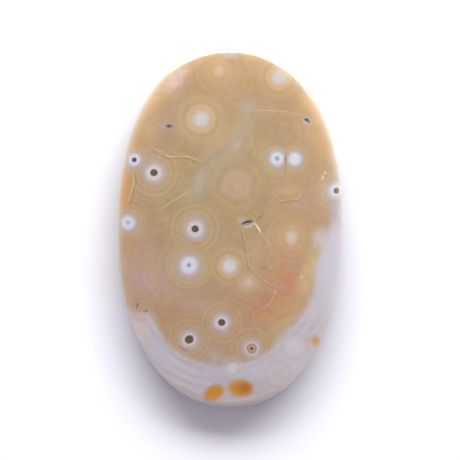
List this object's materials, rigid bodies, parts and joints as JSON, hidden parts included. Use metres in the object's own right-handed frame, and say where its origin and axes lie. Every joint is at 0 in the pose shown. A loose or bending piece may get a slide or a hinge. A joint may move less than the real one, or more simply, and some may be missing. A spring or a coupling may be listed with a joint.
{
  "type": "ocean jasper pendant stone",
  "caption": "Polished oval ocean jasper stone with a low crowned face, rounded edge, flat back and a slanting cord hole at one end.",
  "frame": {"origin": "middle of the flat back that the stone lies on", "axes": "+Z out of the crowned face, +Y along the stone to its drilled end, +X to the right seen from the face"},
  "size_m": [0.0314, 0.05, 0.0075],
  "materials": {
    "polished_jasper": "high polish, slightly translucent tan and grey chalcedony with concentric orbs, white hearts, brown eyes and a milky white end"
  },
  "bodies": {
    "root": {"stone": "polished_jasper"}
  },
  "joints": []
}
